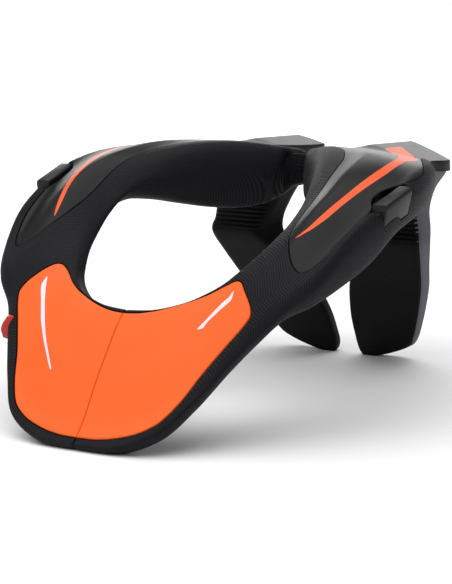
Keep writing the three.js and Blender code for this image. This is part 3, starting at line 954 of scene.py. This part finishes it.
# Cuts the half at the chest seam, at the gap that the bridge fills behind the neck, and level
# at the floor, and closes each cut before the next.
def trimCollar(mesh):
    for place, side in ((collarForm["seamHalfGap"] * mm, -1), (collarForm["padGap"] * mm, 1)):
        middles = [(f, f.calc_center_median()) for f in mesh.faces]
        reach = collarForm["trimReach"] * mm
        faces = [f for f, middle in middles if middle.y * side > 0 and middle.x < reach]
        geometry = list({g for f in faces for g in (f, *f.edges, *f.verts)})
        cutAway(mesh, geometry, (place, 0, 0), (1, 0, 0))
        fillHoles(mesh)
    cutAway(mesh, wholeOf(mesh), (0, 0, 1e-5), (0, 0, 1))
    fillHoles(mesh)
    bmesh.ops.recalc_face_normals(mesh, faces=mesh.faces)


editMesh(collar, trimCollar)
for cutter in (panelCutter, shellCutter, recess, clipCutter):
    carve(collar, cutter)
    print("collar cut", len(collar.data.polygons))
sharpen(collar, 35)

# The bridge between the two neck pads: the same sections drawn in, across the middle.
bridgeForm = {"half": 6.0, "inset": 3.5, "frontY": 30.0}


def makeBridge():
    thing = copied(skin)
    mesh = thing.data
    spots, normals = spotsAndNormals(mesh)
    normals[spots[:, 0] < 0.5 * mm, 0] = 0
    normals /= np.maximum(np.linalg.norm(normals, axis=1), 1e-9)[:, None]
    spots -= normals * bridgeForm["inset"] * mm
    mesh.vertices.foreach_set("co", spots.ravel())
    half = bridgeForm["half"] * mm

    def trim(work):
        before = [v for v in work.verts if v.co.y < bridgeForm["frontY"] * mm]
        bmesh.ops.delete(work, geom=before, context="VERTS")
        wall = [f for f in work.faces if all(abs(v.co.x) < 1e-5 for v in f.verts)]
        bmesh.ops.delete(work, geom=wall, context="FACES")
        for place, sign in ((0.0, 1), (half, -1)):
            cutAway(work, wholeOf(work), (place, 0, 0), (sign, 0, 0))
        twin = bmesh.ops.duplicate(work, geom=wholeOf(work))["geom"]
        verts = [g for g in twin if isinstance(g, bmesh.types.BMVert)]
        faces = [g for g in twin if isinstance(g, bmesh.types.BMFace)]
        for v in verts:
            v.co.x = -v.co.x
        bmesh.ops.reverse_faces(work, faces=faces)
        bmesh.ops.remove_doubles(work, verts=work.verts, dist=2e-5)
        fillHoles(work)
        bmesh.ops.recalc_face_normals(work, faces=work.faces)
        if work.calc_volume(signed=True) < 0:
            bmesh.ops.reverse_faces(work, faces=work.faces)

    editMesh(thing, trim)
    sharpen(thing, 40)
    return thing


bridge = makeBridge()
print("bridge made")

# Back legs: sections from the floor up, a padded face to the front and a plain strip at the side,
# whose lighter grey is partly painted light.
legForm = {
    "thickness": 14.0,
    "stationsPerRow": 24,
    "roundPoints": 6,
    "ribs": {"Pitch": 2.7 * mm, "Depth": 0.45 * mm, "Low": 82.5 * mm, "High": 116.0 * mm},
    # z, inner, outer, front, thick, innerBack, turn
    "rows": [
        [0.0, 0.085, 0.165, 0.945, 0.35, 0.09, 0.0],
        [0.02, 0.068, 0.25, 0.943, 0.5, 0.075, 0.0],
        [0.05, 0.06, 0.34, 0.939, 0.56, 0.068, 0.0],
        [0.09, 0.06, 0.4, 0.931, 0.62, 0.07, 0.0],
        [0.2, 0.07, 0.468, 0.907, 0.75, 0.082, 0.0],
        [0.345, 0.115, 0.54, 0.874, 0.9, 0.135, 0.0],
        [0.455, 0.2, 0.585, 0.843, 0.97, 0.18, 0.0],
        [0.555, 0.32, 0.618, 0.816, 1.2, 0.225, 0.0],
        [0.62, 0.295, 0.606, 0.823, 1.32, 0.245, 0.0],
        [0.7, 0.25, 0.595, 0.834, 1.45, 0.22, 0.01],
        [0.78, 0.2, 0.605, 0.845, 1.85, 0.19, 0.02],
        [0.85, 0.165, 0.65, 0.852, 2.4, 0.165, 0.035],
        [0.905, 0.16, 0.67, 0.856, 2.5, 0.16, 0.05],
    ],
}


def legSections():
    rows = legForm["rows"]
    places = np.linspace(0, len(rows) - 1, (len(rows) - 1) * legForm["stationsPerRow"] + 1)
    sections = []
    for z, inner, outer, front, thick, innerBack, turn in rowsAt(rows, places):
        depth = thick * legForm["thickness"] * mm
        y = atY(front)
        outerY = y - turn * braceSizes["length"] * mm
        corners = np.array([
            (atX(inner), y), (atX(outer), outerY),
            (atX(outer), outerY + depth), (atX(innerBack), y + depth),
        ])
        ring = []
        for i, corner in enumerate(corners):
            before, after = corners[(i + 3) % 4] - corner, corners[(i + 1) % 4] - corner
            sideBefore, sideAfter = np.linalg.norm(before), np.linalg.norm(after)
            size = min(depth / 3, 0.45 * sideBefore, 0.45 * sideAfter)
            start, end = corner + before / sideBefore * size, corner + after / sideAfter * size
            for t in np.linspace(0, 1, legForm["roundPoints"]):
                ring.append((1 - t) ** 2 * start + 2 * t * (1 - t) * corner + t * t * end)
            nextSize = min(depth / 3, 0.45 * sideAfter)
            nextStart = corners[(i + 1) % 4] - after / sideAfter * nextSize
            for t in np.linspace(0, 1, 12)[1:-1]:
                ring.append(end + (nextStart - end) * t)
        sections.append([(x, yy, atZ(z)) for x, yy in ring])
    return np.array(sections)


# Geometry Nodes group that presses level ribs into a front face between two heights.
def ribNodes():
    tree = bpy.data.node_groups.new("levelRibs", "GeometryNodeTree")
    tree.interface.new_socket("Geometry", in_out="INPUT", socket_type="NodeSocketGeometry")
    for name in legForm["ribs"]:
        tree.interface.new_socket(name, in_out="INPUT", socket_type="NodeSocketFloat")
    tree.interface.new_socket("Geometry", in_out="OUTPUT", socket_type="NodeSocketGeometry")
    start, end = tree.nodes.new("NodeGroupInput"), tree.nodes.new("NodeGroupOutput")

    def node(kind, settings, inputs, output=0):
        made = tree.nodes.new(kind)
        for key, value in settings.items():
            setattr(made, key, value)
        for key, value in inputs.items():
            if isinstance(value, bpy.types.NodeSocket):
                tree.links.new(value, made.inputs[key])
            else:
                made.inputs[key].default_value = value
        return made.outputs[output]

    def maths(operation, first, second):
        return node("ShaderNodeMath", {"operation": operation}, {0: first, 1: second})

    def ramp(value, low, high):
        return node("ShaderNodeMapRange", {}, {"Value": value, "From Min": low, "From Max": high})

    position = node("GeometryNodeInputPosition", {}, {})
    height = node("ShaderNodeSeparateXYZ", {}, {0: position}, 2)
    normal = node("GeometryNodeInputNormal", {}, {})
    facing = ramp(node("ShaderNodeSeparateXYZ", {}, {0: normal}, 1), -0.55, -0.85)
    turns = maths("MULTIPLY", maths("DIVIDE", height, start.outputs["Pitch"]), 2 * math.pi)
    wave = maths("MULTIPLY", maths("SINE", turns, 0.0), 0.5)
    above = ramp(height, start.outputs["Low"], maths("ADD", start.outputs["Low"], 2 * mm))
    below = ramp(height, start.outputs["High"], maths("SUBTRACT", start.outputs["High"], 4 * mm))
    amount = maths("MULTIPLY", maths("MULTIPLY", wave, facing), maths("MULTIPLY", above, below))
    push = maths("MULTIPLY", amount, start.outputs["Depth"])
    offset = node("ShaderNodeVectorMath", {"operation": "SCALE"}, {0: normal, "Scale": push})
    places = {"Geometry": start.outputs["Geometry"], "Offset": offset}
    moved = node("GeometryNodeSetPosition", {}, places)
    tree.links.new(moved, end.inputs[0])
    return tree


leg = loft("back_leg_right", legSections(), True, ["legFabric", "sideStripLitFabric"])
faceOutward(leg)
ribs = leg.modifiers.new("ribs", "NODES")
ribs.node_group = ribNodes()
for item in ribs.node_group.interface.items_tree:
    if item.in_out == "INPUT" and item.name in legForm["ribs"]:
        ribs[item.identifier] = legForm["ribs"][item.name]
applyModifiers(leg)
collarRoom = copied(skin)
spots, normals = spotsAndNormals(collarRoom.data)
collarRoom.data.vertices.foreach_set("co", (spots + normals * pocketGap * mm).ravel())
carve(leg, collarRoom)
tailPlan = planShares([[0.05, 0.8], [0.05, 1.1], [0.9, 1.1], [0.9, 0.75]])
tailRoom = drapedPlate(
    "tailRoom", turnLeft(smoothLine(tailPlan, 3 * mm, True, 0.1)),
    lambda points: np.column_stack([points, tailHeight(points) + 0.03]), (0, 0, -1),
    0.03 + (shellForm["tailThickness"] + 0.3) * mm, 0, ["legFabric"], grid=5 * mm,
)
carve(leg, tailRoom)


# Keeps the largest connected part, without the crumbs that a cut leaves.
def dropLoose(thing):
    def work(mesh):
        left, groups = set(mesh.verts), []
        while left:
            group = [left.pop()]
            for vert in group:
                near = {v for edge in vert.link_edges for v in edge.verts} & left
                left -= near
                group += near
            groups.append(group)
        for group in sorted(groups, key=len)[:-1]:
            bmesh.ops.delete(mesh, geom=group, context="VERTS")

    editMesh(thing, work)


dropLoose(leg)
dropLoose(collar)
# Faces turned outward take the side strip finish, whose lighter grey is partly painted light on
# that side.
for polygon in leg.data.polygons:
    if polygon.normal.x > 0.72:
        polygon.material_index = 1
sharpen(leg, 40)
print("leg made", len(leg.data.polygons))


# The left half mirrors the right one, apart from the prints and the tab with its pocket.
def mirrored(thing, keep=True):
    twin = copied(thing)
    twin.data.transform(Matrix.Diagonal((-1, 1, 1, 1)))
    twin.data.flip_normals()
    twin.data.update()
    if not keep:
        bpy.data.objects.remove(thing)
    return twin


collarLeft = mirrored(collar)
carve(collarLeft, mirrored(tabCutter, False))
dropLoose(collarLeft)
sharpen(collarLeft, 35)
bpy.data.objects.remove(skin)
pieces = {
    "collar_right": collar,
    "front_panel_right": panel,
    "arm_shell_right": shell,
    "strap_clip_right": clip,
    "back_leg_right": leg,
    "collar_left": collarLeft,
    "front_panel_left": mirrored(panelOther, False),
    "arm_shell_left": mirrored(shellOther, False),
    "strap_clip_left": mirrored(clip),
    "back_leg_left": mirrored(leg),
    "rear_bridge": bridge,
    "release_tab": mirrored(tab, False),
}
for node, piece in pieces.items():
    kind = node.split("_")[0]
    piece.name = node + "_made"
    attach(piece, "tab" if kind == "release" else "brace")
    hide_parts(node)
    kind in ("collar", "rear", "back")
print("pieces placed")

# A pale floor and even light, with a low lamp behind that shines along the top faces.
studio = {
    "floor": 0.95,
    "floorSide": 12.0,
    "world": 0.3,
    "sun": 2.5,
    "sunWidth": 80,
    "sunTilt": (4, -4, 0),
    "lamps": {
        "rear": {
            "spot": (-0.95, 1.25, 0.42), "target": (0, 0.05, 0.13),
            "size": (1.3, 0.5), "power": 7.5,
        },
        "front": {
            "spot": (-0.9, -1.4, 0.9), "target": (0, -0.02, 0.06),
            "size": (1.2, 1.0), "power": 3.0,
        },
    },
}


def areaLight(name, form):
    data = bpy.data.lights.new(name, "AREA")
    data.shape = "RECTANGLE"
    data.size, data.size_y = form["size"]
    data.energy = form["power"]
    lamp = placed(name, data)
    lamp.location = form["spot"]
    aim = Vector(form["target"]) - Vector(form["spot"])
    lamp.rotation_euler = aim.to_track_quat("-Z", "Y").to_euler()


def makeStudio():
    finish = Finish("studioFloor")
    finish.set(Base_Color=(studio["floor"],) * 3, Roughness=0.9, Specular_IOR_Level=0.1)
    side = studio["floorSide"]
    verts = [(-side, -side, 0), (side, -side, 0), (side, side, 0), (-side, side, 0)]
    finishes["studioFloor"] = finish.material
    meshObject("floor", verts, [(0, 1, 2, 3)], ["studioFloor"])
    world = bpy.data.worlds.new("studio")
    world.use_nodes = True
    world.node_tree.nodes["Background"].inputs[0].default_value = (1, 1, 1, 1)
    world.node_tree.nodes["Background"].inputs[1].default_value = studio["world"]
    bpy.context.scene.world = world
    for name, form in studio["lamps"].items():
        areaLight(name, form)
    sun = placed("sun", bpy.data.lights.new("sun", "SUN"))
    sun.data.energy = studio["sun"]
    sun.data.angle = math.radians(studio["sunWidth"])
    sun.rotation_euler = tuple(math.radians(a) for a in studio["sunTilt"])
    bpy.context.scene.view_settings.view_transform = "Standard"


makeStudio()
print("studio lit")
